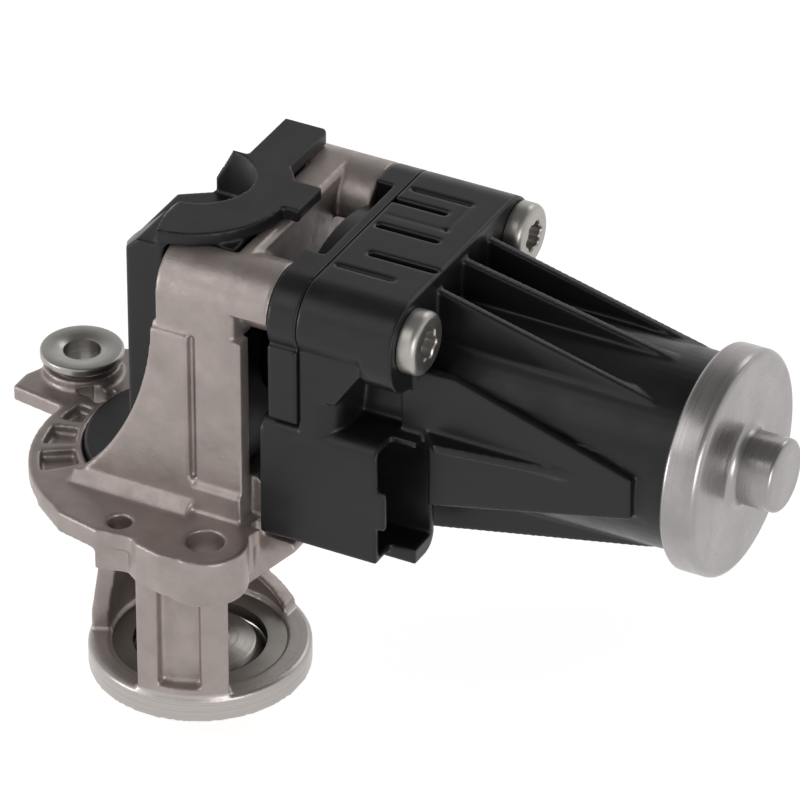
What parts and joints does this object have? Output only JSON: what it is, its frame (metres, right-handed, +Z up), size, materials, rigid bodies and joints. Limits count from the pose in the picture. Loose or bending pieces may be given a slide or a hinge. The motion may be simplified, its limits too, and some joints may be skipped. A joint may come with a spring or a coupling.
{
  "type": "exhaust gas recirculation valve",
  "caption": "Electric exhaust gas recirculation valve: a geared motor turns a crank and roller that push a spring-closed poppet down off its seat in a flanged cast housing.",
  "frame": {"origin": "on the stem axis at the lower face of the round collar that enters the engine", "axes": "+Z up along the valve stem, +X along the motor axis towards its end cap, +Y away from the connector"},
  "size_m": [0.1418, 0.0654, 0.0958],
  "materials": {
    "cast_alloy": "matte cast",
    "machined_steel": "machined",
    "valve_steel": "forged and turned",
    "spring_steel": "drawn wire",
    "screw_steel": "zinc plated",
    "plated_steel": "nickel plated",
    "rotor_iron": "laminated",
    "magnet": "sintered",
    "bronze": "sintered",
    "pin_metal": "tinned",
    "black_moulding": "satin moulded",
    "gear_moulding": "moulded",
    "seal_rubber": "matte"
  },
  "bodies": {
    "housing": {"valve_housing": "cast_alloy", "seat_ring": "machined_steel", "stem_guide_bush": "bronze", "stem_seal": "seal_rubber", "return_spring": "spring_steel", "shield_disc": "black_moulding", "mechanism_cover": "black_moulding", "mounting_bush": "machined_steel", "gearbox_plate": "black_moulding", "shaft_bushes": "bronze", "gear_axle": "machined_steel", "motor_housing": "black_moulding", "connector_pins": "pin_metal", "end_cap": "plated_steel", "motor_can": "plated_steel", "motor_magnets": "magnet", "front_bush": "bronze", "rear_bush": "bronze", "brush_holder": "gear_moulding", "brushes": "magnet", "housing_screws": "screw_steel"},
    "armature_shaft": {"motor_shaft": "machined_steel", "motor_pinion": "machined_steel", "armature": "rotor_iron", "commutator": "pin_metal"},
    "idler": {"intermediate_gear": "gear_moulding"},
    "crank": {"crank_arm": "machined_steel", "output_shaft": "machined_steel", "output_sector": "gear_moulding"},
    "roller": {"crank_roller": "machined_steel"},
    "valve": {"poppet_valve": "valve_steel", "spring_seat": "machined_steel", "stem_yoke": "machined_steel"}
  },
  "joints": [
    {"name": "armature_spin", "type": "hinge", "parent": "housing", "child": "armature_shaft", "pos_m": [0, 0.008, 0.0651], "axis": [1, 0, 0], "range_deg": [0, 527.51]},
    {"name": "idler_turn", "type": "hinge", "parent": "housing", "child": "idler", "pos_m": [0, 0.008, 0.078], "axis": [1, 0, 0], "range_deg": [-139.65, 0]},
    {"name": "crank_turn", "type": "hinge", "parent": "housing", "child": "crank", "pos_m": [0, 0.008, 0.0651], "axis": [1, 0, 0], "range_deg": [0, 48.01]},
    {"name": "roller_spin", "type": "hinge", "parent": "crank", "child": "roller", "pos_m": [0, 0.00069, 0.06835], "axis": [1, 0, 0], "range_deg": [-48.01, 0]},
    {"name": "valve_lift", "type": "slide", "parent": "housing", "child": "valve", "axis": [0, 0, -1], "range_m": [0, 0.00651], "stiffness_N_per_m": 120, "springref_m": -0.05, "deforming": ["return_spring"]}
  ],
  "couplings": [
    {"joint": "crank_turn", "follows": "valve_lift", "rad_per_m": 128.73},
    {"joint": "roller_spin", "follows": "valve_lift", "rad_per_m": -128.73},
    {"joint": "idler_turn", "follows": "valve_lift", "rad_per_m": -374.49},
    {"joint": "armature_spin", "follows": "valve_lift", "rad_per_m": 1414.7}
  ]
}
